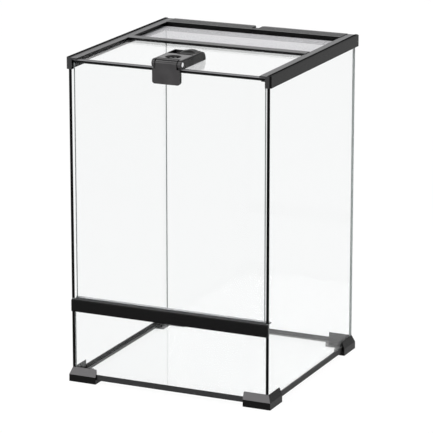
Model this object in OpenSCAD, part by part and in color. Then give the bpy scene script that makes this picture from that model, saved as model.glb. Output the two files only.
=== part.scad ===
// Glass reptile terrarium: seven panes held by base rails, corner feet, a door sill
// and a top frame. The front door hangs on a lock that is clamped to the top pane.
// Millimetres. +Z is up, the front looks towards -Y, and the origin lies on the surface
// that the feet stand on, under the centre of the glass box.

/* [Glass box] */
// Width over the two side panes
glass_w = 300; // [260:1:600]
// Depth from the front panes to the rear pane
glass_d = 300; // [260:1:600]
// Thickness of every pane
glass_t = 4; // [3:0.5:5]
// Clearance between a pane and each wall of its slot
pane_gap = 0.1; // [0.05:0.05:0.3]
// Height of the top frame's upper face
frame_h = 465.4; // [360:0.2:900]

/* [Base] */
// Height of the base rails above the surface
rail_lift = 5.3; // [3:0.1:8]
// Height of a base rail's outer wall
base_rail_h = 8.1; // [7:0.1:14]
// Height of a base rail's inner wall, beside the base pane
base_inner_h = 6; // [5.6:0.1:7]
// Wall of a base rail on each side of its pane
rail_wall = 1; // [0.8:0.1:2]
// Thickness of the lip under the base pane
base_lip = 1; // [0.6:0.1:2]
// Reach of that lip past the rail's inner wall
lip_reach = 3.5; // [3:0.5:10]
// Thickness of rail left under a standing pane
seat_t = 3.2; // [2:0.2:4]

/* [Corner feet] */
// How far a foot stands out past the glass
foot_reach = 4.3; // [2.5:0.1:8]
// Length of a foot along each pane
foot_leg = 37; // [30:1:60]
// Height of the upright part of a foot's outer face
foot_wall_z = 10.1; // [6:0.1:12]
// Height at which the slope above it meets the glass
foot_top_z = 20.8; // [15:0.2:30]
// Height of the flange inside the panes
foot_flange_z = 14; // [11:0.5:20]
// Length of that flange along each pane
foot_flange_leg = 32; // [20:1:50]
// Width of the sole under the base pane
foot_sole_w = 14; // [10:0.5:24]

/* [Front sill] */
// Height of the sill's lower edge
sill_z = 102.9; // [60:0.1:200]
// Height of the sill
sill_h = 18.6; // [16:0.2:30]
// How far the sill stands out in front of the glass
sill_reach = 3.5; // [2.5:0.1:6]
// Thickness of the sill's front wall, over the side panes' edges
sill_front_t = 2.5; // [1.5:0.1:2.5]
// Fall of the sloped lip in front of the door
sill_slope = 2.5; // [1:0.1:4]
// Depth of the slot that takes the lower front pane
sill_slot = 6; // [4:0.5:7]
// Height of the stop behind the door's foot
stop_h = 2; // [1:0.1:5]
// Thickness of that stop
stop_t = 1.6; // [1:0.1:2.5]
// Gap between the door and the stop
stop_gap = 0.4; // [0.3:0.1:1]
// Depth of the vented ledge behind the stop
ledge_d = 6.7; // [5:0.1:12]
// Thickness of the ledge
ledge_t = 2.2; // [1.5:0.1:3]
// Length of a vent slot
vent_len = 16; // [10:1:18]
// Width of a vent slot
vent_w = 2.6; // [1.5:0.1:3.2]
// Distance from one vent slot to the next
vent_pitch = 22; // [21:1:30]

/* [Door] */
// Gap between the door and each side pane
door_side_gap = 3.2; // [2.2:0.1:6]
// Gap between the door's top edge and the top pane
door_top_gap = 0.4; // [0.3:0.1:2]
// Gap between the door's foot and the sill
door_foot_gap = 0.5; // [0.3:0.1:1]
// Thickness of the dark seals on the side panes' front edges
seal_t = 0.8; // [0.4:0.1:0.9]
// Width of those seals
seal_w = 4; // [2:0.1:4]

/* [Top frame] */
// Outer wall of a side rail
frame_wall = 2.5; // [1:0.1:3.5]
// Depth of the side rails down the glass
skirt_h = 16.9; // [12:0.1:26]
// Thickness of the side rails' inner leg
inner_leg_t = 1.9; // [1.2:0.1:3]
// How far that leg ends above the outer wall
leg_lift = 1.1; // [0:0.1:3]
// Reach of the side rails' upper face, from the outer face of the glass inwards
flange_w = 14; // [10:0.2:16]
// Reach of the shelf that carries the top pane, from the outer face of the glass
shelf_w = 14.6; // [12:0.2:18]
// Thickness of the shelf
shelf_t = 2.3; // [1.5:0.1:3]
// Solid web between the inner leg and the pane groove
web_w = 2.8; // [1.5:0.1:3.5]
// Height of the frame above the top pane
frame_over = 3.5; // [2.5:0.1:6]
// Reach of the side rails' raised rim, from the outer face of the glass inwards
rim_in = 2.4; // [1:0.1:6]
// Height of that rim over the rails' upper face
rim_h = 0.7; // [0.3:0.1:1.2]
// Width of the slope on the rim's inner side
rim_slope = 1.2; // [0.3:0.1:2]
// Bevel along the frame's outer upper edge
frame_bevel = 1; // [0.6:0.1:1.9]
// How far the side rails stand out in front of the glass
frame_nose = 4; // [3:0.1:8]
// Length of the caps on the side rails' front ends
cap_len = 7; // [5:0.5:14]
// How far a cap's outer side stands out past the side pane
cap_wall = 2.8; // [1:0.1:3.8]
// Bevel of a cap's outer front corner
cap_corner = 2.3; // [0.6:0.1:2.8]
// How far the frame stands out behind the glass
frame_tail = 6.6; // [3:0.1:8]
// Depth of the rear rail, from the outer face of the rear pane inwards
rear_rail_d = 22.5; // [20:0.5:50]
// Depth of the lip along the rear rail's inner edge, below the mesh
lip_drop = 6; // [3.5:0.1:9]
// Thickness of that lip
lip_t = 1.6; // [1:0.1:2.5]
// Width of the cable notch between the two halves of the rear rail
notch_w = 10; // [6:0.5:20]
// Depth of the cable notch from the rear edge
notch_d = 20; // [10:0.5:22]
// Seam between the two halves
seam = 0.6; // [0.3:0.1:1]
// Depth of the grooves along the rear rail's upper face
rib_depth = 0.7; // [0.3:0.1:1.2]
// Distance of the cross bar's front face from the front of the glass
cross_y = 151; // [110:1:190]
// Width of the cross bar
cross_w = 16.4; // [9:0.2:20]
// Thickness of the cross bar's web under its upper flange
cross_web_t = 3.6; // [2:0.1:5]
// How far the front edging laps over the top pane
edging_lap = 5; // [3:0.1:8]
// Thickness of the front edging in front of the top pane
edging_t = 1.8; // [0.8:0.1:2]

/* [Vent mesh] */
// Thickness of the mesh panel
mesh_t = 0.8; // [0.5:0.1:1.2]
// Number of mesh gaps along the width
mesh_cols = 27; // [8:1:30]
// Number of mesh gaps along the depth
mesh_rows = 11; // [4:1:12]
// Width of a mesh strand
strand_w = 1.6; // [0.8:0.1:3]
// Solid border of the mesh panel
mesh_border = 4.4; // [3:0.1:6]

/* [Lock] */
// Width of the lock
lock_w = 43.2; // [36:0.2:60]
// Depth of the lock body behind the hinge axis
lock_d = 74.6; // [66:0.2:100]
// Radius of the hinge barrel
barrel_r = 6.1; // [5:0.1:8]
// Gap between the hinge barrel and the edging under it
barrel_gap = 0.3; // [0.3:0.1:1]
// Radius of the hinge pin
pin_r = 3.2; // [2.5:0.1:4]
// Radial clearance of the hinge pin in the flap
pin_gap = 0.05; // [0.02:0.01:0.1]
// How far each pin end stands out of the lock body
pin_proud = 0.4; // [0.2:0.1:1]
// Width of the lock body's two hinge ears
ear_w = 4.5; // [3:0.1:6]
// Gap between the flap's barrel and each ear
ear_gap = 1.3; // [0.1:0.1:2]
// Distance of the hinge axis in front of the glass
axis_fore = 0.6; // [0:0.1:1]
// Width of the flap
flap_w = 41.4; // [36:0.2:60]
// Thickness of the flap
flap_t = 4; // [3:0.1:4.2]
// Distance from the hinge axis down to the flap's lower edge
flap_drop = 27.7; // [20:0.1:45]
// Corner radius of the flap
flap_corner = 3.8; // [2:0.1:6]
// How far the bonding pad behind the flap stays inside its edges and the door's top edge
pad_inset = 0.6; // [0.5:0.1:4]
// Radius of the lock body's rear rounding
tail_r = 12; // [8:0.5:12]
// Rounding along the lock body's upper side edges
side_r = 2; // [0.5:0.1:2.4]
// Distance of the fixing screw behind the hinge axis
screw_y = 17; // [17:0.5:21]
// Radius of the recess over the screw
recess_r = 9; // [6:0.1:9]
// Depth of that recess
recess_depth = 4.6; // [4:0.1:6]
// Bevel round the recess
recess_bevel = 2.4; // [0.6:0.1:2.6]
// Radius of the screw's shank
screw_r = 2; // [1.5:0.1:2.5]
// Radius of the screw's head
screw_head_r = 5; // [4:0.1:5.5]
// Thickness of the clamp plate under the top pane
clamp_t = 3.4; // [2.5:0.1:6]
// Width of the clamp plate
clamp_w = 28; // [16:0.5:40]
// Depth of the clamp plate
clamp_d = 18; // [14:0.5:18]

/* [Lock slider] */
// Distance of the slider's pocket behind the hinge axis
pocket_y = 38.2; // [36:0.2:44]
// Depth of the pocket from front to rear
pocket_d = 27; // [22:0.5:28]
// Depth of the pocket below the lock's upper face
pocket_depth = 8.6; // [7:0.1:9]
// Wall beside the pocket
pocket_wall = 3; // [2:0.1:4]
// Length of the slider
slider_w = 23; // [16:0.2:26]
// Running clearance round the slider
slider_gap = 0.25; // [0.1:0.05:0.5]
// How far the slider's front edge stands over the lock's upper face
slider_over = 0.8; // [0.4:0.1:2]
// How far the slider's arched grip stands over the lock's upper face
grip_over = 2.5; // [2:0.1:6]
// Radius of the thumb scoop in the slider
scoop_r = 15; // [12:0.5:24]

/* [Hidden] */

$fn = 64;
eps = 0.01;
frame_black = "#2a2a2c";
foot_grey = "#343436";
pane_tint = [0.86, 0.93, 0.92, 0.28];
seal_black = "#0c0c0d";
lock_black = "#3b3a3c";
mesh_grey = "#c9c8cc";
steel = "#d9dadc";

half_w = glass_w / 2;
half_d = glass_d / 2;
front_y = -half_d;

// Heights of the panes
pane_seat_z = rail_lift + seat_t;
base_glass_z = rail_lift + base_lip;
top_glass_top = frame_h - frame_over;
top_glass_z = top_glass_top - glass_t;
rail_top_z = rail_lift + base_rail_h;

// Profile widths, measured inwards from the outer face of a standing pane
slot_in = glass_t + pane_gap;
base_inner = slot_in + rail_wall;
leg_in = slot_in + inner_leg_t;
web_in = leg_in + web_w;
base_edge = base_inner + pane_gap;
skirt_z = frame_h - skirt_h;
band_z = frame_h - rim_h;
standing_top_z = top_glass_top;

// Sill and door levels
sill_top = sill_z + sill_h;
stop_in = glass_t + stop_gap;
ledge_in = stop_in + stop_t;
sill_inner_w = glass_w - 2 * (glass_t + pane_gap);
sill_slot_z = sill_z + sill_slot;
door_top_z = top_glass_z - door_top_gap;

// Top panes, cross bar and mesh
top_pane_w = glass_w - 2 * (web_in + pane_gap);
cross_front = front_y + cross_y;
cross_rear = cross_front + cross_w;
cross_bevel = 0.5;
web_inset = 2.2;
web_rear = cross_rear - web_inset;
web_front = web_rear - cross_web_t;
mesh_z = top_glass_z;
shelf_z = top_glass_z - pane_gap - shelf_t;
mesh_front = web_rear + 2 * pane_gap;
rear_inner_y = half_d - rear_rail_d;
mesh_bite = 3;
mesh_rear = rear_inner_y + mesh_bite - 2 * pane_gap;
edging_lip_t = 0.4;
edging_rise = 1.2;

// Grooves along the rear rail's upper face
rib_count = 4;
rib_w = 1.6;
rib_pitch = rear_rail_d / (rib_count + 0.5);

// Lock levels, with the hinge axis along X
axis_y = front_y - axis_fore;
axis_z = top_glass_top + edging_lip_t + barrel_gap + barrel_r;
lock_top = axis_z + barrel_r;
lock_half = lock_w / 2;
ear_in = lock_half - ear_w;
tail_y = axis_y + lock_d;
seat_front_y = front_y + edging_lap + 1;
flap_neck = barrel_r + 0.4;
flap_back_y = axis_y - barrel_r + flap_t;
flap_low_z = axis_z - flap_drop;
pad_corner_min = 0.4;
recess_z = lock_top - recess_depth;
screw_head_h = 3.4;
socket_depth = 2;
clamp_front = axis_y + screw_y - clamp_d / 2;
clamp_z = top_glass_z - clamp_t;
screw_tip_z = clamp_z - 2;
pane_hole_r = screw_r + 1.2;
pocket_front = axis_y + pocket_y;
pocket_z = lock_top - pocket_depth;
pocket_half = lock_half - pocket_wall;
tongue_t = 2;
tongue_bite = 1.6;
slider_x0 = pocket_half - slider_gap - slider_w;
grip_half = slider_w / 2 - 1;

// --- Shared shapes ---------------------------------------------------------

// A box from its lowest corner to its highest corner
module box(low, high) {
    translate(low) cube(high - low);
}

// A profile drawn in (y, z) and run along X
module run_x(x0, x1) {
    translate([x0, 0, 0]) rotate([90, 0, 90]) linear_extrude(x1 - x0) children();
}

// A profile drawn in (x, z) and run along Y
module run_y(y0, y1) {
    translate([0, y1, 0]) rotate([90, 0, 0]) linear_extrude(y1 - y0) children();
}

// A rectangle from its lowest corner to its highest corner
module rect(low, high) {
    translate(low) square(high - low);
}

// Swaps X and Y, for the second leg of a corner piece
module swapped() {
    mirror([1, -1, 0]) children();
}

// Places a shape drawn inwards (+X, +Y) from a corner of the glass box
module at_corner(side_x, side_y) {
    translate([side_x * half_w, side_y * half_d, 0])
        mirror([side_x > 0 ? 1 : 0, 0, 0])
            mirror([0, side_y > 0 ? 1 : 0, 0])
                children();
}

// Puts a shape that is drawn on the left side on the given side
module on_side(side_x) {
    mirror([side_x > 0 ? 1 : 0, 0, 0]) children();
}

// --- Panes -----------------------------------------------------------------

module base_glass() {
    color(pane_tint)
        box([-half_w + base_edge, -half_d + base_edge, base_glass_z],
            [half_w - base_edge, half_d - base_edge, base_glass_z + glass_t]);
}

module side_glass(side_x) {
    color(pane_tint) on_side(side_x)
        box([-half_w, -half_d, pane_seat_z], [-half_w + glass_t, half_d, standing_top_z]);
}

module rear_glass() {
    color(pane_tint)
        box([-half_w + slot_in, half_d - glass_t, pane_seat_z],
            [half_w - slot_in, half_d, standing_top_z]);
}

module lower_front_glass() {
    color(pane_tint)
        box([-half_w + slot_in, front_y, pane_seat_z],
            [half_w - slot_in, front_y + glass_t, sill_slot_z - pane_gap]);
}

module door_glass() {
    door_half = half_w - glass_t - door_side_gap;
    color(pane_tint)
        box([-door_half, front_y, sill_top + door_foot_gap],
            [door_half, front_y + glass_t, door_top_z]);
}

module top_glass() {
    color(pane_tint) difference() {
        box([-top_pane_w / 2, front_y, top_glass_z],
            [top_pane_w / 2, web_front - pane_gap, top_glass_top]);
        translate([0, axis_y + screw_y, top_glass_z - 1])
            cylinder(h = glass_t + 2, r = pane_hole_r);
    }
}

// --- Base ------------------------------------------------------------------

// Section of a base rail: x runs inwards from the glass's outer face, y is the height
module base_rail_section() {
    difference() {
        union() {
            rect([-rail_wall - pane_gap, rail_lift], [slot_in, rail_top_z]);
            rect([slot_in - eps, rail_lift], [base_inner, rail_lift + base_inner_h]);
            rect([slot_in - eps, rail_lift], [base_inner + lip_reach, base_glass_z]);
        }
        rect([-pane_gap, pane_seat_z], [slot_in, rail_top_z + 1]);
    }
}

// A base rail between two feet, drawn on the front side of a box of the given size
module base_rail(along, across) {
    end = along / 2 - foot_leg - pane_gap;
    color(frame_black)
        run_x(-end, end) translate([-across / 2, 0]) base_rail_section();
}

// Outer section of a foot: upright below, sloping in to the glass above
module foot_section() {
    polygon([[-foot_reach, 0], [-foot_reach, foot_wall_z], [-pane_gap, foot_top_z],
        [foot_leg, foot_top_z], [foot_leg, 0]]);
}

module corner_foot(side_x, side_y) {
    far = foot_leg + 1;
    color(foot_grey) at_corner(side_x, side_y) difference() {
        union() {
            intersection() {
                run_y(-foot_reach, foot_leg) foot_section();
                swapped() run_y(-foot_reach, foot_leg) foot_section();
                union() {
                    box([-foot_reach, -foot_reach, 0], [foot_leg, slot_in, foot_top_z]);
                    box([-foot_reach, -foot_reach, 0], [slot_in, foot_leg, foot_top_z]);
                    box([-foot_reach, -foot_reach, 0], [foot_leg, foot_sole_w, base_glass_z]);
                    box([-foot_reach, -foot_reach, 0], [foot_sole_w, foot_leg, base_glass_z]);
                }
            }
            box([slot_in, slot_in, rail_lift], [foot_flange_leg, base_inner, foot_flange_z]);
            box([slot_in, slot_in, rail_lift], [base_inner, foot_flange_leg, foot_flange_z]);
        }
        // Slots for the two standing panes
        box([-pane_gap, -pane_gap, pane_seat_z], [slot_in, far, foot_top_z + 5]);
        box([-pane_gap, -pane_gap, pane_seat_z], [far, slot_in, foot_top_z + 5]);
    }
}

// --- Front sill and edge seals ---------------------------------------------

// Section of the sill between the side panes: x runs back from the glass's front face
module sill_section() {
    difference() {
        union() {
            rect([-sill_reach + sill_front_t - eps, sill_z], [ledge_in, sill_top]);
            rect([stop_in, sill_top - eps], [ledge_in, sill_top + stop_h]);
            rect([ledge_in - eps, sill_top - ledge_t], [ledge_in + ledge_d, sill_top]);
        }
        rect([-pane_gap, sill_z - 1], [slot_in, sill_slot_z]);
        sill_slope_cut();
    }
}

// The front wall runs the full width, over the side panes' front edges
module sill_front_section() {
    difference() {
        rect([-sill_reach, sill_z], [-sill_reach + sill_front_t, sill_top]);
        sill_slope_cut();
    }
}

module sill_slope_cut() {
    polygon([[-sill_reach - 1, sill_top - sill_slope], [-sill_reach, sill_top - sill_slope],
        [-pane_gap, sill_top], [-pane_gap, sill_top + 1], [-sill_reach - 1, sill_top + 1]]);
}

module front_sill() {
    vents = floor((sill_inner_w - 2 * vent_pitch) / vent_pitch);
    ledge_mid = front_y + ledge_in + ledge_d / 2;
    color(frame_black) difference() {
        union() {
            run_x(-half_w, half_w) translate([front_y, 0]) sill_front_section();
            run_x(-sill_inner_w / 2, sill_inner_w / 2) translate([front_y, 0]) sill_section();
        }
        for (i = [0 : vents - 1])
            translate([(i - (vents - 1) / 2) * vent_pitch, ledge_mid, sill_top - ledge_t - 1])
                vent_slot();
    }
}

// A vent slot with round ends
module vent_slot() {
    reach = (vent_len - vent_w) / 2;
    translate([-reach, -vent_w / 2, 0]) cube([2 * reach, vent_w, ledge_t + 2]);
    for (side = [-1, 1])
        translate([side * reach, 0, 0]) cylinder(h = ledge_t + 2, d = vent_w);
}

// Dark strip on the front edge of a side pane, above and below the sill
module edge_seal(side_x) {
    y0 = front_y - seal_t;
    x0 = -half_w + (glass_t - seal_w) / 2;
    color(seal_black) on_side(side_x) {
        box([x0, y0, foot_top_z + 2 * pane_gap], [x0 + seal_w, front_y, sill_z - 2 * pane_gap]);
        box([x0, y0, sill_top + 2 * pane_gap], [x0 + seal_w, front_y, skirt_z - 2 * pane_gap]);
    }
}

// --- Top frame -------------------------------------------------------------

// A 45 degree bevel of the given size, cut from the corner of a section at low x and high y
module corner_cut(at_x, at_y, size) {
    polygon([[at_x - 1, at_y - size - 1], [at_x + size + 1, at_y + 1], [at_x - 1, at_y + 1]]);
}

// Leaves a bevelled rim along the outer upper edge of a side rail, in a section
module rim_cut(outer) {
    polygon([[rim_in, frame_h + 1], [rim_in, frame_h], [rim_in + rim_slope, band_z],
        [flange_w + 1, band_z], [flange_w + 1, frame_h + 1]]);
    corner_cut(-outer, frame_h, frame_bevel);
}

// Walls on each side of a side pane, and the flange over it
module rail_clip_section() {
    difference() {
        union() {
            rect([-frame_wall - pane_gap, skirt_z], [slot_in, frame_h]);
            rect([slot_in - eps, skirt_z + leg_lift], [leg_in, frame_h]);
            rect([leg_in - eps, top_glass_top + pane_gap], [flange_w, frame_h]);
        }
        rect([-pane_gap, skirt_z - 1], [slot_in, standing_top_z + pane_gap]);
    }
}

// Shelf and groove for the top pane and the mesh
module rail_shelf_section() {
    rect([leg_in - eps, shelf_z], [web_in, frame_h]);
    rect([web_in - eps, shelf_z], [shelf_w, top_glass_z - pane_gap]);
}

module top_rail(side_x) {
    outer = frame_wall + pane_gap;
    clip_front = front_y + cap_len - frame_nose + pane_gap;
    rear_pane_y = half_d - glass_t - pane_gap;
    shelf_front = front_y + glass_t + 2 * pane_gap;
    end_y = half_d + frame_tail;
    color(frame_black) on_side(side_x) translate([-half_w, 0, 0]) difference() {
        union() {
            run_y(clip_front, rear_pane_y) rail_clip_section();
            run_y(max(shelf_front, clip_front), rear_pane_y) rail_shelf_section();
            // Rear corner, which closes over the end of the rear pane
            box([-outer, rear_pane_y - eps, skirt_z], [-pane_gap, end_y, frame_h]);
            box([-outer, half_d + pane_gap, skirt_z], [flange_w, end_y, frame_h]);
            box([-outer, rear_pane_y - eps, standing_top_z + pane_gap], [flange_w, end_y, frame_h]);
        }
        run_y(clip_front - 1, end_y + 1) rim_cut(outer);
        run_x(-outer - 1, flange_w + 1) mirror([1, 0]) corner_cut(-end_y, frame_h, frame_bevel);
    }
}

// Cap on the front end of a side rail, closed in front of the side pane
module rail_cap(side_x) {
    nose_y = front_y - frame_nose;
    color(frame_black) on_side(side_x) translate([-half_w, 0, 0]) difference() {
        run_y(nose_y, nose_y + cap_len) difference() {
            union() {
                rect([-cap_wall, skirt_z], [leg_in, frame_h]);
                rect([leg_in - eps, top_glass_top + edging_lip_t + pane_gap], [flange_w, frame_h]);
            }
            rim_cut(cap_wall);
        }
        // Slot over the front end of the side pane
        box([-pane_gap, front_y - pane_gap, skirt_z - 1],
            [slot_in, nose_y + cap_len + 1, standing_top_z + pane_gap]);
        // Bevelled outer front corner
        translate([0, 0, skirt_z - 1]) linear_extrude(skirt_h + 2)
            mirror([0, 1]) corner_cut(-cap_wall, -nose_y, cap_corner);
    }
}

// Section of the rear rail: x runs inwards from the rear pane's outer face
module rear_rail_section() {
    difference() {
        union() {
            rect([-frame_tail, top_glass_top + pane_gap], [rear_rail_d, frame_h]);
            rect([-frame_tail, skirt_z + skirt_h / 2], [-pane_gap, frame_h - eps]);
            rect([-frame_wall - pane_gap, skirt_z], [-pane_gap, frame_h - eps]);
            rect([slot_in, skirt_z], [leg_in, frame_h - eps]);
            rect([rear_rail_d - mesh_bite - 1, mesh_z - shelf_t], [rear_rail_d, frame_h - eps]);
            rect([rear_rail_d - lip_t, mesh_z - lip_drop], [rear_rail_d, mesh_z - shelf_t + eps]);
        }
        // Groove for the mesh
        rect([rear_rail_d - mesh_bite, mesh_z - pane_gap], [rear_rail_d + 1, mesh_z + mesh_t + pane_gap]);
        corner_cut(-frame_tail, frame_h, frame_bevel);
        // Grooves along the upper face
        for (i = [0 : rib_count - 1])
            translate([rib_pitch * (i + 0.5), frame_h])
                square([rib_w, 2 * rib_depth], center = true);
    }
}

// One half of the rear rail, with its share of the cable notch
module rear_rail(side_x) {
    shelf_clear = half_w - shelf_w - pane_gap;
    flange_clear = half_w - flange_w - pane_gap;
    color(frame_black) on_side(side_x) difference() {
        run_x(-flange_clear, -seam / 2)
            translate([half_d, 0]) mirror([1, 0]) rear_rail_section();
        // Clear of the side rail's shelf
        box([-half_w, rear_inner_y - 1, 0], [-shelf_clear, half_d - glass_t, top_glass_top + pane_gap]);
        // Cable notch, open to the rear, with a slanted mouth
        box([-notch_w / 2, half_d + frame_tail - notch_d, standing_top_z - eps],
            [1, half_d + frame_tail + 1, frame_h + 1]);
        translate([-notch_w / 2, half_d + frame_tail, 0]) rotate([0, 0, 45])
            translate([-notch_w / 4, -notch_w / 4, standing_top_z - eps])
                cube([notch_w / 2, notch_w / 2, frame_over + 2]);
    }
}

module cross_bar() {
    flange_half = half_w - flange_w - pane_gap;
    color(frame_black) {
        difference() {
            union() {
                box([-flange_half, cross_front, top_glass_top],
                    [flange_half, cross_rear, frame_h]);
                box([-top_pane_w / 2, web_front, top_glass_z],
                    [top_pane_w / 2, web_rear, top_glass_top + eps]);
            }
            run_x(-flange_half - 1, flange_half + 1) corner_cut(cross_front, frame_h, cross_bevel);
        }
    }
}

// Edging clipped over the top pane's front edge
module top_glass_edging() {
    edge_half = half_w - leg_in - pane_gap;
    edge_low = top_glass_z + edging_rise;
    lip_half = half_w - flange_w - pane_gap;
    color(seal_black) {
        box([-edge_half, front_y - edging_t, edge_low],
            [edge_half, front_y, top_glass_top + edging_lip_t]);
        box([-lip_half, front_y - eps, top_glass_top],
            [lip_half, front_y + edging_lap, top_glass_top + edging_lip_t]);
    }
}

// Vent mesh: a thin panel with rows of square gaps
module vent_mesh() {
    gap_w = (top_pane_w - 2 * mesh_border - (mesh_cols - 1) * strand_w) / mesh_cols;
    gap_d = (mesh_rear - mesh_front - 2 * mesh_border - (mesh_rows - 1) * strand_w) / mesh_rows;
    color(mesh_grey) translate([0, 0, mesh_z]) linear_extrude(mesh_t) difference() {
        rect([-top_pane_w / 2, mesh_front], [top_pane_w / 2, mesh_rear]);
        for (i = [0 : mesh_cols - 1], j = [0 : mesh_rows - 1])
            translate([-top_pane_w / 2 + mesh_border + i * (gap_w + strand_w),
                mesh_front + mesh_border + j * (gap_d + strand_w)])
                square([gap_w, gap_d]);
    }
}

// --- Lock ------------------------------------------------------------------

// Side outline of the lock body: round at the hinge, seated on the top pane behind the
// edging, rounded down at the rear
module lock_outline() {
    tail_x = tail_y - tail_r;
    tail_z = lock_top - tail_r;
    translate([axis_y, axis_z]) circle(r = barrel_r);
    rect([axis_y, axis_z - barrel_r], [seat_front_y + eps, lock_top]);
    rect([seat_front_y, top_glass_top], [tail_x, lock_top]);
    intersection() {
        translate([tail_x, tail_z]) circle(r = tail_r);
        rect([tail_x - eps, top_glass_top], [tail_y, lock_top]);
    }
    rect([tail_x - eps, top_glass_top], [tail_y, max(tail_z, top_glass_top + eps)]);
}

module lock_body() {
    cut = lock_half + 1;
    color(lock_black) difference() {
        run_x(-lock_half, lock_half) lock_outline();
        // Room for the flap's barrel between the ears
        run_x(-ear_in, ear_in) {
            translate([axis_y, axis_z]) circle(r = barrel_r + ear_gap);
            rect([axis_y - barrel_r - 1, top_glass_top - 1], [axis_y, lock_top + 1]);
        }
        // Bore for the hinge pin
        translate([-cut, axis_y, axis_z]) rotate([0, 90, 0])
            cylinder(h = 2 * cut, r = pin_r + pin_gap / 2);
        // Recess, bevel and hole for the fixing screw
        translate([0, axis_y + screw_y, recess_z]) cylinder(h = recess_depth + 1, r = recess_r);
        translate([0, axis_y + screw_y, lock_top - recess_bevel])
            cylinder(h = recess_bevel + eps, r1 = recess_r, r2 = recess_r + recess_bevel);
        translate([0, axis_y + screw_y, top_glass_top - 1])
            cylinder(h = recess_z - top_glass_top + 2, r = screw_r + 0.2);
        // Rounding along the upper side edges
        for (side = [0, 1])
            mirror([side, 0, 0]) run_y(axis_y - barrel_r - 1, tail_y + 1)
                translate([lock_half - side_r, lock_top - side_r]) difference() {
                    square(side_r + 1);
                    circle(r = side_r);
                }
        // Pocket for the slider, undercut along its front and rear
        box([-pocket_half, pocket_front, pocket_z],
            [pocket_half, pocket_front + pocket_d, lock_top + 1]);
        box([-pocket_half, pocket_front - tongue_bite, pocket_z],
            [pocket_half, pocket_front + pocket_d + tongue_bite, pocket_z + tongue_t]);
    }
}

// Outline of an upright plate with round lower corners
module plate_outline(half, low, high, corner) {
    rect([-half, low + corner], [half, high]);
    rect([-half + corner, low], [half - corner, high]);
    for (side = [-1, 1])
        translate([side * (half - corner), low + corner]) circle(r = corner);
}

// Front outline of the flap: a narrow barrel above a wide plate
module flap_outline() {
    plate_top = axis_z - flap_neck;
    plate_outline(flap_w / 2, flap_low_z, plate_top, flap_corner);
    rect([-ear_in + ear_gap, plate_top - 1], [ear_in - ear_gap, axis_z]);
}

module lock_flap() {
    barrel_half = ear_in - ear_gap;
    color(lock_black) difference() {
        union() {
            translate([0, flap_back_y, 0]) rotate([90, 0, 0])
                linear_extrude(flap_t) flap_outline();
            translate([-barrel_half, axis_y, axis_z]) rotate([0, 90, 0])
                cylinder(h = 2 * barrel_half, r = barrel_r);
        }
        translate([-barrel_half - 1, axis_y, axis_z]) rotate([0, 90, 0])
            cylinder(h = 2 * barrel_half + 2, r = pin_r + pin_gap);
    }
}

// Pad that bonds the flap to the door
module lock_flap_pad() {
    color(seal_black) translate([0, front_y, 0]) rotate([90, 0, 0])
        linear_extrude(front_y - flap_back_y)
            plate_outline(flap_w / 2 - pad_inset, flap_low_z + pad_inset,
                door_top_z - pad_inset, max(flap_corner - pad_inset, pad_corner_min));
}

module lock_hinge_pin() {
    pin_half = lock_half + pin_proud;
    color(steel) translate([-pin_half, axis_y, axis_z]) rotate([0, 90, 0])
        cylinder(h = 2 * pin_half, r = pin_r);
}

// Slider with an arched grip at the rear and a thumb scoop in front of it
module lock_slider() {
    y0 = pocket_front + slider_gap;
    y1 = pocket_front + pocket_d - slider_gap;
    z0 = pocket_z + slider_gap / 2;
    mid_x = slider_x0 + slider_w / 2;
    arch_z = lock_top + grip_over;
    rise = grip_over - slider_over + 1;
    arch_r = (grip_half * grip_half + rise * rise) / (2 * rise);
    shoulder_z = lock_top + 0.6;
    scoop_y = y0 + 7;
    color(lock_black) {
        // Tongue under the pocket's lips
        box([slider_x0, y0 - tongue_bite, z0],
            [slider_x0 + slider_w, y1 + tongue_bite, pocket_z + tongue_t - slider_gap]);
        difference() {
            union() {
                box([slider_x0, y0, z0], [slider_x0 + slider_w, y1, shoulder_z]);
                intersection() {
                    run_y(y0, y1 - 1) translate([mid_x, arch_z - arch_r]) circle(r = arch_r, $fn = 180);
                    box([mid_x - grip_half, y0, lock_top - 1], [mid_x + grip_half, y1, arch_z + 1]);
                }
            }
            // Thumb scoop
            translate([slider_x0 - 1, scoop_y, lock_top + slider_over + scoop_r - 1.2])
                rotate([0, 90, 0]) cylinder(h = slider_w + 2, r = scoop_r, $fn = 96);
            // The front stays low
            box([slider_x0 - 1, y0 - 1, lock_top + slider_over],
                [slider_x0 + slider_w + 1, scoop_y, arch_z + 2]);
        }
    }
}

// Countersunk black screw with a hexagon socket
module lock_screw() {
    color(seal_black) translate([0, axis_y + screw_y, 0]) difference() {
        union() {
            translate([0, 0, screw_tip_z]) cylinder(h = recess_z - screw_tip_z + eps, r = screw_r);
            translate([0, 0, recess_z]) cylinder(h = screw_head_h, r = screw_head_r);
        }
        translate([0, 0, recess_z + screw_head_h - socket_depth])
            cylinder(h = socket_depth + 1, r = screw_head_r * 0.5, $fn = 6);
    }
}

module lock_clamp_plate() {
    color(lock_black) difference() {
        box([-clamp_w / 2, clamp_front, clamp_z], [clamp_w / 2, clamp_front + clamp_d, top_glass_z]);
        translate([0, axis_y + screw_y, clamp_z - 1]) cylinder(h = clamp_t + 2, r = screw_r + 0.03);
    }
}

// --- Nodes -----------------------------------------------------------------

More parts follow.
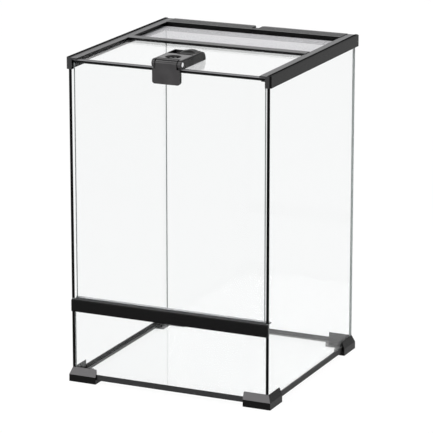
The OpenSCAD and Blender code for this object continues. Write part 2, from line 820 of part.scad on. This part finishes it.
base_glass();
side_glass(-1);  // left_side_glass
side_glass(1);  // right_side_glass
rear_glass();
lower_front_glass();
door_glass();
top_glass();
corner_foot(-1, -1);  // front_left_foot
corner_foot(1, -1);  // front_right_foot
corner_foot(-1, 1);  // rear_left_foot
corner_foot(1, 1);  // rear_right_foot
base_rail(glass_w, glass_d);  // front_base_rail
rotate([0, 0, 180]) base_rail(glass_w, glass_d);  // rear_base_rail
rotate([0, 0, -90]) base_rail(glass_d, glass_w);  // left_base_rail
rotate([0, 0, 90]) base_rail(glass_d, glass_w);  // right_base_rail
front_sill();
edge_seal(-1);  // left_edge_seal
edge_seal(1);  // right_edge_seal
top_rail(-1);  // left_top_rail
top_rail(1);  // right_top_rail
rail_cap(-1);  // left_rail_cap
rail_cap(1);  // right_rail_cap
rear_rail(-1);  // left_rear_rail
rear_rail(1);  // right_rear_rail
cross_bar();
top_glass_edging();
vent_mesh();
lock_body();
lock_flap();
lock_flap_pad();
lock_hinge_pin();
lock_slider();
lock_screw();
lock_clamp_plate();
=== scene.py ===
"""Looks of the glass terrarium: clear panes, satin black rails and feet, a woven vent
gauze, a dark lock with a chrome hinge pin, and a plain white studio. Metres, +Z up."""

import bpy
import bmesh
from mathutils import Matrix, Vector


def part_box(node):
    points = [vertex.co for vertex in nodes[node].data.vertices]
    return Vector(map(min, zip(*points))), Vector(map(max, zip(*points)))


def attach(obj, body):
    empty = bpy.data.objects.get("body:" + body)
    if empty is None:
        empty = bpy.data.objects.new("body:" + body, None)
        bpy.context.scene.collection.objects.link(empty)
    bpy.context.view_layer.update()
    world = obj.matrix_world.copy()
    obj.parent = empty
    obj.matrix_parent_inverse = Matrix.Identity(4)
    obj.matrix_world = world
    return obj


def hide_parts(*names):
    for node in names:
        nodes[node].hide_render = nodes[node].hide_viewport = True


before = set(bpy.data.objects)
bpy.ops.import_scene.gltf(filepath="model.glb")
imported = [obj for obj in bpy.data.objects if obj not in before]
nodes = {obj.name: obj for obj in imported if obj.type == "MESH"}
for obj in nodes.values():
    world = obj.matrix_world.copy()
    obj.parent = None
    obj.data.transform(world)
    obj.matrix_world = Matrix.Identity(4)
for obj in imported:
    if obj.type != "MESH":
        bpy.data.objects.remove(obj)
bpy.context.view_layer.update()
MM = 0.001

# Nodes by finish. Each pane has the number of the axis across it
PANES = {"base_glass": 2, "top_glass": 2, "left_side_glass": 0, "right_side_glass": 0,
         "rear_glass": 1, "lower_front_glass": 1, "door_glass": 1}
RAILS = ("left_top_rail", "right_top_rail", "cross_bar")
BASE_RAILS = ("front_base_rail", "rear_base_rail", "left_base_rail", "right_base_rail")
CAPS = ("left_rail_cap", "right_rail_cap")
REAR_RAILS = ("left_rear_rail", "right_rear_rail")
FEET = ("front_left_foot", "front_right_foot", "rear_left_foot", "rear_right_foot")
SEALS = ("left_edge_seal", "right_edge_seal", "lock_flap_pad")
LOCK = ("lock_body", "lock_flap", "lock_clamp_plate")

# Sizes that the nodes' boxes don't show: the door's stop, the recess over the lock's screw, and
# the thumb scoop behind the slider's front end
STOP_H = 2.0 * MM
RECESS_R = 11.4 * MM
SCOOP_BEHIND = 8.6 * MM

# Places taken from the nodes
HALF_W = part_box("right_side_glass")[1][0]
DOOR_BACK_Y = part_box("door_glass")[1][1]
SILL_TOP_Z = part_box("front_sill")[1][2] - STOP_H
EDGING_TOP_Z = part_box("top_glass_edging")[1][2]
LOCK_TOP_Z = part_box("lock_body")[1][2]
SCREW_Y = (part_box("lock_screw")[0][1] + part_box("lock_screw")[1][1]) / 2
SCOOP_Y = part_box("lock_slider")[0][1] + SCOOP_BEHIND

# Colours of a pane: its upright edges, the painted shade of its level edges, its faces and its
# shadow
PANE_EDGE = (0.30, 0.33, 0.325)
PANE_EDGE_PAINTED_SHADE = (0.02, 0.023, 0.022)
PANE_FACE = (0.955, 0.960, 0.960)
PANE_SHADE = (0.9, 0.92, 0.92)
PANE_EDGE_ROUGHNESS = 0.4
PANE_IOR = 1.19

# How much of a normal lies along an axis where one look of a pane passes into the other
PANE_TURN = (0.4, 0.6)

# Camera, from the photograph's own perspective
LENS = 234.0
SENSOR = 36.0
CAMERA_AT = Vector((1608.43, -3488.40, 1252.43)) * MM
CAMERA_TARGET = Vector((2.72, 0.0, 219.44)) * MM
CAMERA_REACH = 50.0

# Studio: light from all round, and how much of the floor's white its shadows can take
WHITE = (1.0, 1.0, 1.0, 1.0)
FILL = 0.75
SHADOW_SHARE = 0.06
FLOOR_SIZE = 40.0
FLOOR_LEVELS = (0.86, 0.88)

# Gauze of the vent: its wires, and how much of the hem's width they leave free
WIRE_R = 0.115 * MM
WIRE_PITCH = 1.5 * MM
WIRE_SIDES = 6
HEM_W = 2.0 * MM
HEM_FREE = 0.9

# Dark matt strips laid on the raised rims of the side rails as painted shade, a little short of
# the frame's ends
RIM_STRIP_T = 0.15 * MM
RIM_STRIP_BEVEL = 0.06 * MM
RIM_STRIP_IN = 2.5 * MM
RIM_STRIP_OUT = 1.5 * MM
RIM_STRIP_FRONT = 0.1 * MM
RIM_STRIP_REAR = 1.1 * MM

# Tints of the plastics
COOL_BLACK = (1.0, 1.0, 1.03)
FOOT_TINT = (1.0, 0.97, 1.0)
LOCK_TINT = (1.0, 0.96, 0.99)

# Surface of the plastics: patches in the colour, and a grain in the gloss and the relief
PATCH_SCALE = 45.0
PATCH_DETAIL = 4.0
PATCH_SPREAD = 0.18
GRAIN_DETAIL = 2.0
GLOSS_SPREAD = 0.05
RELIEF_DEPTH = 0.05 * MM
BEVEL_SAMPLES = 4

# Sockets of the node that mixes two colours
MIX_FACTOR, MIX_FIRST, MIX_SECOND, MIX_RESULT = 0, 6, 7, 2


# --- Node tree helpers -----------------------------------------------------

def feed(tree, node, **inputs):
    """Sets or links some of a node's input sockets."""
    for name, value in inputs.items():
        socket = node.inputs[name.replace("_", " ")]
        if isinstance(value, bpy.types.NodeSocket):
            tree.links.new(value, socket)
        else:
            socket.default_value = value


def add(tree, kind, **inputs):
    """A node of the given kind with some of its input sockets set or linked."""
    node = tree.nodes.new(kind)
    feed(tree, node, **inputs)
    return node


def new_material(name):
    """A material with an empty tree but for its output and one Principled shader."""
    mat = bpy.data.materials.new(name)
    mat.use_nodes = True
    tree = mat.node_tree
    tree.nodes.clear()
    out = tree.nodes.new("ShaderNodeOutputMaterial")
    shader = tree.nodes.new("ShaderNodeBsdfPrincipled")
    tree.links.new(shader.outputs["BSDF"], out.inputs["Surface"])
    return mat, tree, shader


def calculate(tree, operation, *values):
    """The result of a math node on one or two values."""
    node = tree.nodes.new("ShaderNodeMath")
    node.operation = operation
    for value, socket in zip(values, node.inputs):
        tree.links.new(value, socket)
    return node.outputs[0]


def noise(tree, scale, detail, stretch=(1.0, 1.0, 1.0)):
    """Noise over object space, at so many cells per metre, stretched along the axes."""
    coord = tree.nodes.new("ShaderNodeTexCoord")
    mapping = add(tree, "ShaderNodeMapping", Vector=coord.outputs["Object"], Scale=stretch)
    cells = add(tree, "ShaderNodeTexNoise", Vector=mapping.outputs["Vector"], Scale=scale,
                Detail=detail)
    return cells.outputs["Fac"]


def remap(tree, value, low, high, start=0.3, end=0.7):
    """Maps a value between start and end, or most of a noise's range, to low and high."""
    node = add(tree, "ShaderNodeMapRange", Value=value, From_Min=start, From_Max=end,
               To_Min=low, To_Max=high)
    return node.outputs["Result"]


def mix_colors(tree, factor, first, second):
    """Mixes two colours, each a socket or plain numbers, by a factor socket."""
    node = tree.nodes.new("ShaderNodeMix")
    node.data_type = "RGBA"
    tree.links.new(factor, node.inputs[MIX_FACTOR])
    for color, socket in ((first, node.inputs[MIX_FIRST]), (second, node.inputs[MIX_SECOND])):
        if isinstance(color, bpy.types.NodeSocket):
            tree.links.new(color, socket)
        else:
            socket.default_value = (*color, 1.0)
    return node.outputs[MIX_RESULT]


def grey(level, tint=(1.0, 1.0, 1.0)):
    """A grey of the given linear level, with a slight tint."""
    return tuple(level * part for part in tint)


# --- Zones of a material, most of them painted light and painted shade -----

# What a zone can be limited by: a part of the object-space normal or of the place. Along X
# both are taken by size alone, so that left and right are alike.
QUANTITIES = {"nx": ("Normal", 0), "ny": ("Normal", 1), "nz": ("Normal", 2),
              "x": ("Object", 0), "y": ("Object", 1), "z": ("Object", 2)}

# Each limit is a quantity, the value where the zone starts, and the value where it is whole
UP = (("nz", 0.88, 0.96),)
FRONT = (("ny", -0.88, -0.96),)
SIDES = (("nx", 0.7, 0.85),)
# Front slopes of the feet, painted lighter as a painted highlight
FOOT_SLOPE_HIGHLIGHT = (("ny", -0.6, -0.8), ("nz", 0.2, 0.3))
# Slope of the sill, painted lighter as a painted highlight
SILL_SLOPE_HIGHLIGHT = (("nz", 0.6, 0.7), ("z", SILL_TOP_Z - 1.6 * MM, SILL_TOP_Z - 1.2 * MM))
# Ledge and stop behind the door, painted pale grey
SILL_LEDGE = (("y", DOOR_BACK_Y + 0.1 * MM, DOOR_BACK_Y + 0.3 * MM),
              ("z", SILL_TOP_Z - 0.3 * MM, SILL_TOP_Z - 0.1 * MM))
# Upper strip of the edging's front, painted lighter as a painted highlight
EDGING_UPPER_HIGHLIGHT = (*FRONT, ("z", EDGING_TOP_Z - 1.0 * MM, EDGING_TOP_Z - 0.8 * MM))
# Floors below the lock's top, painted dark as painted shade
LOCK_FLOOR_SHADE = (*UP, ("z", LOCK_TOP_Z - 1.6 * MM, LOCK_TOP_Z - 2.0 * MM))
# Tops of the lock, painted lighter as painted light
LOCK_TOP_LIGHT = (*UP, ("z", LOCK_TOP_Z - 2.0 * MM, LOCK_TOP_Z - 1.6 * MM))
# Band on the barrel just below the lock's top, painted dark as the painted shade of the gap
# there
LOCK_SEAM_SHADE = (("ny", -0.3, -0.35), ("nz", 0.80, 0.83), ("nz", 0.93, 0.90))
# Recess over the lock's screw, painted dark as painted shade
LOCK_RECESS_SHADE = (("z", LOCK_TOP_Z - 0.1 * MM, LOCK_TOP_Z - 0.3 * MM),
               ("x", RECESS_R + 0.4 * MM, RECESS_R + 0.2 * MM),
               ("y", SCREW_Y - RECESS_R - 0.5 * MM, SCREW_Y - RECESS_R - 0.1 * MM),
               ("y", SCREW_Y + RECESS_R + 0.5 * MM, SCREW_Y + RECESS_R + 0.1 * MM))
# Flat front of the slider, painted lighter as painted light
SLIDER_FRONT_LIGHT = (*UP, ("y", SCOOP_Y + 0.35 * MM, SCOOP_Y - 0.45 * MM))


def zone(tree, limits):
    """1 where each limit's quantity has passed from its start to its end, and 0 elsewhere."""
    coord = tree.nodes.new("ShaderNodeTexCoord")
    mask = None
    for quantity, start, end in limits:
        space, axis = QUANTITIES[quantity]
        split = add(tree, "ShaderNodeSeparateXYZ", Vector=coord.outputs[space])
        source = split.outputs[axis]
        if axis == 0:
            source = calculate(tree, "ABSOLUTE", source)
        part = remap(tree, source, 0.0, 1.0, start, end)
        mask = part if mask is None else calculate(tree, "MULTIPLY", mask, part)
    return mask


# --- Materials -------------------------------------------------------------

def plastic(name, level, roughness, tint=COOL_BLACK, grain=2600.0, bump=0.06,
            stretch=(1.0, 1.0, 1.0), specular=0.1, edge=0.35 * MM, painted_zones=()):
    """Satin black plastic: a fine moulded grain, faint patches and softened edges. Zones have a
    level of their own, most of them painted light on faces the lamps reach and painted shade on
    faces in shade."""
    mat, tree, shader = new_material(name)
    patches = noise(tree, scale=PATCH_SCALE, detail=PATCH_DETAIL)
    fine = noise(tree, scale=grain, detail=GRAIN_DETAIL, stretch=stretch)
    color = mix_colors(tree, remap(tree, patches, 0.0, 1.0),
                       grey(level * (1 - PATCH_SPREAD), tint),
                       grey(level * (1 + PATCH_SPREAD), tint))
    # Each zone paints its own level into the colour, most of them as painted light and painted
    # shade
    for limits, painted_level in painted_zones:
        color = mix_colors(tree, zone(tree, limits), color, grey(painted_level, tint))
    rounded = add(tree, "ShaderNodeBevel", Radius=edge)
    rounded.samples = BEVEL_SAMPLES
    relief = add(tree, "ShaderNodeBump", Height=fine, Normal=rounded.outputs["Normal"],
                 Strength=bump, Distance=RELIEF_DEPTH)
    rough = remap(tree, fine, roughness - GLOSS_SPREAD, roughness + GLOSS_SPREAD)
    feed(tree, shader, Base_Color=color, Roughness=rough, Normal=relief.outputs["Normal"],
         Specular_IOR_Level=specular)
    return mat


def rubber(name, level, painted_zones=()):
    """Matt black seal strip."""
    return plastic(name, level=level, roughness=0.55, grain=1400.0, bump=0.12, specular=0.05,
                   edge=0.2 * MM, painted_zones=painted_zones)


def pane_glass(axis):
    """Clear float glass: nearly colourless faces and faintly green ground edges, which are
    painted dark where they lie level, as painted shade of a rail or of their neighbour."""
    mat, tree, shader = new_material("pane_glass_" + "xyz"[axis])
    coord = tree.nodes.new("ShaderNodeTexCoord")
    split = add(tree, "ShaderNodeSeparateXYZ", Vector=coord.outputs["Normal"])
    across = calculate(tree, "ABSOLUTE", split.outputs[axis])
    is_face = remap(tree, across, 0.0, 1.0, *PANE_TURN)
    rough = remap(tree, across, PANE_EDGE_ROUGHNESS, 0.0, *PANE_TURN)
    # Level edges are painted dark as painted shade
    if axis == 2:
        color = mix_colors(tree, is_face, PANE_EDGE_PAINTED_SHADE, PANE_FACE)
    else:
        upward = calculate(tree, "ABSOLUTE", split.outputs[2])
        level_edge_shade = remap(tree, upward, 0.0, 1.0, *PANE_TURN)
        color = mix_colors(tree, is_face, PANE_EDGE, PANE_FACE)
        color = mix_colors(tree, level_edge_shade, color, PANE_EDGE_PAINTED_SHADE)
    feed(tree, shader, Base_Color=color, Roughness=rough, Transmission_Weight=is_face,
         IOR=PANE_IOR)
    # Lets the lamps' light through to what stands behind the pane
    clear = add(tree, "ShaderNodeBsdfTransparent", Color=(*PANE_SHADE, 1.0))
    path = tree.nodes.new("ShaderNodeLightPath")
    choice = add(tree, "ShaderNodeMixShader", Fac=path.outputs["Is Shadow Ray"])
    tree.links.new(shader.outputs["BSDF"], choice.inputs[1])
    tree.links.new(clear.outputs["BSDF"], choice.inputs[2])
    tree.links.new(choice.outputs["Shader"], tree.nodes["Material Output"].inputs["Surface"])
    return mat


def metal(name, colors, roughness, metallic, scale, detail=2.0, stretch=(1.0, 1.0, 1.0),
          specular=0.5):
    """Metal whose colour and roughness pass between two values with its fine marks."""
    mat, tree, shader = new_material(name)
    marks = noise(tree, scale=scale, detail=detail, stretch=stretch)
    color = mix_colors(tree, remap(tree, marks, 0.0, 1.0), *colors)
    feed(tree, shader, Base_Color=color, Roughness=remap(tree, marks, *roughness),
         Metallic=metallic, Specular_IOR_Level=specular)
    return mat


def chrome():
    """Polished chrome with faint lathe marks."""
    return metal("polished_pin", colors=((0.78, 0.78, 0.8), (0.88, 0.88, 0.9)),
                 roughness=(0.1, 0.18), metallic=1.0, scale=900.0, stretch=(6.0, 1.0, 1.0))


def black_oxide():
    """Blackened steel of the fixing screw."""
    return metal("black_oxide_steel", colors=(grey(0.008), grey(0.014)),
                 roughness=(0.3, 0.45), metallic=0.0, scale=1800.0, detail=3.0, specular=0.1)


def gauze_metal():
    """Pale drawn wire of the gauze."""
    return metal("gauze_wire", colors=((0.57, 0.565, 0.585), (0.67, 0.665, 0.68)),
                 roughness=(0.4, 0.55), metallic=0.25, scale=1200.0)


def dress(names, mat):
    """Gives every listed CAD node one material."""
    for name in names:
        for slot in nodes[name].material_slots:
            slot.material = mat


# --- Vent gauze and rim strips ---------------------------------------------

def new_piece(name, mesh, mat):
    """Turns a mesh into a piece of the tank with one material."""
    data = bpy.data.meshes.new(name)
    mesh.to_mesh(data)
    mesh.free()
    piece = bpy.data.objects.new(name, data)
    bpy.context.scene.collection.objects.link(piece)
    data.materials.append(mat)
    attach(piece, "tank")
    return piece


def slab(mesh, low, high):
    """A flat bar between two corners."""
    place = Matrix.Translation((low + high) / 2) @ Matrix.Diagonal((*(high - low), 1.0))
    bmesh.ops.create_cube(mesh, size=1.0, matrix=place)


def wire(mesh, start, end):
    """A straight gauze wire between two points."""
    along = end - start
    turn = along.to_track_quat("Z", "Y").to_matrix().to_4x4()
    place = Matrix.Translation((start + end) / 2) @ turn
    bmesh.ops.create_cone(mesh, cap_ends=True, segments=WIRE_SIDES, radius1=WIRE_R,
                          radius2=WIRE_R, depth=along.length, matrix=place)


def spaced(low, high, pitch):
    """Evenly spaced places between low and high, at about the given pitch."""
    count = max(1, round((high - low) / pitch))
    return [low + (high - low) * i / count for i in range(1, count)]


def hem(mesh, low, high, width):
    """A flat frame of the given width round the gauze."""
    inner_low = low + Vector((width, width, 0))
    inner_high = high - Vector((width, width, 0))
    bars = ((low, Vector((high.x, inner_low.y, high.z))),
            (Vector((low.x, inner_high.y, low.z)), high),
            (Vector((low.x, inner_low.y, low.z)), Vector((inner_low.x, inner_high.y, high.z))),
            (Vector((inner_high.x, inner_low.y, low.z)), Vector((high.x, inner_high.y, high.z))))
    for start, end in bars:
        slab(mesh, start, end)


def build_gauze(hem_mat):
    """Two crossed layers of fine wires in a flat hem, in the vent mesh's place."""
    low, high = (Vector(corner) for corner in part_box("vent_mesh"))
    hem_mesh = bmesh.new()
    hem(hem_mesh, low, high, HEM_W)
    border = new_piece("vent_gauze_hem", hem_mesh, hem_mat)
    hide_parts("vent_mesh")
    mesh = bmesh.new()
    inner_low = low + Vector((HEM_W, HEM_W, 0)) * HEM_FREE
    inner_high = high - Vector((HEM_W, HEM_W, 0)) * HEM_FREE
    lower_z = high.z - 3 * WIRE_R
    upper_z = high.z - WIRE_R
    for x in spaced(inner_low.x, inner_high.x, WIRE_PITCH):
        wire(mesh, Vector((x, inner_low.y, lower_z)), Vector((x, inner_high.y, lower_z)))
    for y in spaced(inner_low.y, inner_high.y, WIRE_PITCH):
        wire(mesh, Vector((inner_low.x, y, upper_z)), Vector((inner_high.x, y, upper_z)))
    gauze = new_piece("vent_gauze", mesh, gauze_metal())
    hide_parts("vent_mesh")


def build_rim_shade_strips(mat):
    """A thin dark matt strip along the raised rim of each side rail and its cap, as painted
    shade.
    """
    front_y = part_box("left_rail_cap")[0][1] + RIM_STRIP_FRONT
    rear_y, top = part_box("left_top_rail")[1][1:]
    for name, side in (("left_rim_shade_strip", -1), ("right_rim_shade_strip", 1)):
        inner = side * (HALF_W - RIM_STRIP_IN)
        outer = side * (HALF_W + RIM_STRIP_OUT)
        mesh = bmesh.new()
        slab(mesh, Vector((min(inner, outer), front_y, top)),
             Vector((max(inner, outer), rear_y - RIM_STRIP_REAR, top + RIM_STRIP_T)))
        bmesh.ops.bevel(mesh, geom=mesh.edges[:], offset=RIM_STRIP_BEVEL, segments=1,
                        affect="EDGES")
        new_piece(name, mesh, mat)


# --- Studio ----------------------------------------------------------------

def build_camera():
    """The photograph's viewpoint."""
    data = bpy.data.cameras.new("camera")
    data.lens = LENS
    data.sensor_width = SENSOR
    data.clip_end = CAMERA_REACH
    camera = bpy.data.objects.new("camera", data)
    camera.location = CAMERA_AT
    camera.rotation_euler = (CAMERA_TARGET - CAMERA_AT).to_track_quat("-Z", "Y").to_euler()
    bpy.context.scene.collection.objects.link(camera)
    bpy.context.scene.camera = camera


def area_light(name, direction, distance, size, power, target):
    """A soft lamp of a width and height at a distance along a direction, aimed at a target."""
    data = bpy.data.lights.new(name, "AREA")
    data.shape = "RECTANGLE"
    width, height = size
    data.size = width
    data.size_y = height
    data.energy = power
    lamp = bpy.data.objects.new(name, data)
    aim = Vector(target)
    lamp.location = aim + Vector(direction).normalized() * distance
    lamp.rotation_euler = (aim - lamp.location).to_track_quat("-Z", "Y").to_euler()
    bpy.context.scene.collection.objects.link(lamp)


def seen_ray(tree):
    """1 for rays that show the background: from the camera, off gloss or through glass."""
    path = tree.nodes.new("ShaderNodeLightPath")
    either = calculate(tree, "MAXIMUM", path.outputs["Is Camera Ray"],
                       path.outputs["Is Glossy Ray"])
    return calculate(tree, "MAXIMUM", either, path.outputs["Is Transmission Ray"])


def build_world():
    """An even fill light that shows as plain white."""
    world = bpy.data.worlds.new("studio")
    bpy.context.scene.world = world
    world.use_nodes = True
    tree = world.node_tree
    strength = remap(tree, seen_ray(tree), FILL, 1.0, 0.0, 1.0)
    feed(tree, tree.nodes["Background"], Strength=strength, Color=WHITE)


def build_floor():
    """A wide pale floor that reads as the white background and keeps a soft shadow."""
    bpy.ops.mesh.primitive_plane_add(size=FLOOR_SIZE, location=(0.0, 0.0, 0.0))
    floor = bpy.context.active_object
    floor.name = "studio_floor"
    mat, tree, shader = new_material("studio_floor")
    dust = noise(tree, scale=6.0, detail=3.0)
    pale = mix_colors(tree, remap(tree, dust, 0.0, 1.0), *map(grey, FLOOR_LEVELS))
    color = mix_colors(tree, seen_ray(tree), pale, grey(SHADOW_SHARE))
    lift = remap(tree, seen_ray(tree), 0.0, 1.0 - SHADOW_SHARE * FILL, 0.0, 1.0)
    feed(tree, shader, Base_Color=color, Roughness=0.9, Specular_IOR_Level=0.0,
         Emission_Strength=lift, Emission_Color=WHITE)
    floor.data.materials.append(mat)


def build_studio():
    """Camera, background and lamps. The edge light draws the highlight along the barrel."""
    bpy.context.scene.view_settings.view_transform = "Standard"
    build_camera()
    build_world()
    build_floor()
    area_light("front_softbox", direction=(-0.404, -0.82, 0.407), distance=3.4,
               size=(1.2, 1.2), power=36.0, target=(0.0, -0.15, 0.015))
    area_light("top_softbox", direction=(0.25, 0.35, 1.0), distance=2.2,
               size=(1.4, 1.4), power=8.0, target=(0.0, 0.0, 0.25))
    area_light("edge_light", direction=(-0.404, -0.377, 0.832), distance=2.5,
               size=(0.2, 0.75), power=14.0, target=(0.0, -0.14, 0.47))


# --- Assembly --------------------------------------------------------------

for pane, pane_axis in PANES.items():
    dress((pane,), pane_glass(pane_axis))
# Rails and the gauze's hem: tops painted lighter as painted light
rail_plastic = plastic("rail_plastic", level=0.002, roughness=0.3, specular=0.085,
                       painted_zones=((UP, 0.085),))
dress(RAILS, rail_plastic)
# Caps: tops and fronts painted lighter as painted light
dress(CAPS, plastic("cap_plastic", level=0.002, roughness=0.3, specular=0.085,
                    painted_zones=((UP, 0.085), (FRONT, 0.035))))
# Sill: slope painted lighter as a painted highlight; ledge and stop behind the door painted pale
# grey
dress(("front_sill",), plastic("sill_plastic", level=0.002, roughness=0.3,
                               painted_zones=((SILL_SLOPE_HIGHLIGHT, 0.055), (SILL_LEDGE, 0.42))))
# Base rails: tops and fronts painted lighter as painted light
dress(BASE_RAILS, plastic("base_rail_plastic", level=0.004, roughness=0.34,
                          painted_zones=((UP, 0.04), (FRONT, 0.03))))
# Rear rails: tops painted lighter as painted light
dress(REAR_RAILS, plastic("rear_rail_plastic", level=0.002, roughness=0.32, bump=0.25,
                          stretch=(0.12, 1.0, 1.0), painted_zones=((UP, 0.055),)))
# Feet: tops painted lighter as painted light, front slopes as a painted highlight
dress(FEET, plastic("foot_plastic", level=0.002, roughness=0.3, tint=FOOT_TINT, grain=1800.0,
                    bump=0.1, painted_zones=((UP, 0.05), (FOOT_SLOPE_HIGHLIGHT, 0.115))))
dress(SEALS, rubber("seal_rubber", level=0.002))
# Edging: top painted lighter as painted light, upper front strip as a painted highlight
dress(("top_glass_edging",), rubber("edging_rubber", level=0.002,
                                    painted_zones=((EDGING_UPPER_HIGHLIGHT, 0.25), (UP, 0.14))))
# Lock: the rest at the main level; tops painted lighter as painted light; sides, floors, the
# band below the top and the screw's recess painted dark as painted shade
dress(LOCK, plastic("lock_plastic", level=0.045, roughness=0.17, tint=LOCK_TINT, grain=2200.0,
                    painted_zones=((SIDES, 0.003), (LOCK_FLOOR_SHADE, 0.003), (LOCK_TOP_LIGHT, 0.07),
                           (LOCK_SEAM_SHADE, 0.008), (LOCK_RECESS_SHADE, 0.008))))
# Slider: flat front painted lighter as painted light
dress(("lock_slider",), plastic("slider_plastic", level=0.003, roughness=0.34, tint=LOCK_TINT,
                                grain=2200.0, bump=0.1, painted_zones=((SLIDER_FRONT_LIGHT, 0.06),)))
dress(("lock_hinge_pin",), chrome())
dress(("lock_screw",), black_oxide())
build_gauze(rail_plastic)
# Dark matt strips on the side rails' rims, as painted shade
build_rim_shade_strips(plastic("rim_shade_strip", level=0.012, roughness=0.9, grain=1400.0, bump=0.1,
                         specular=0.0, edge=0.05 * MM))
build_studio()
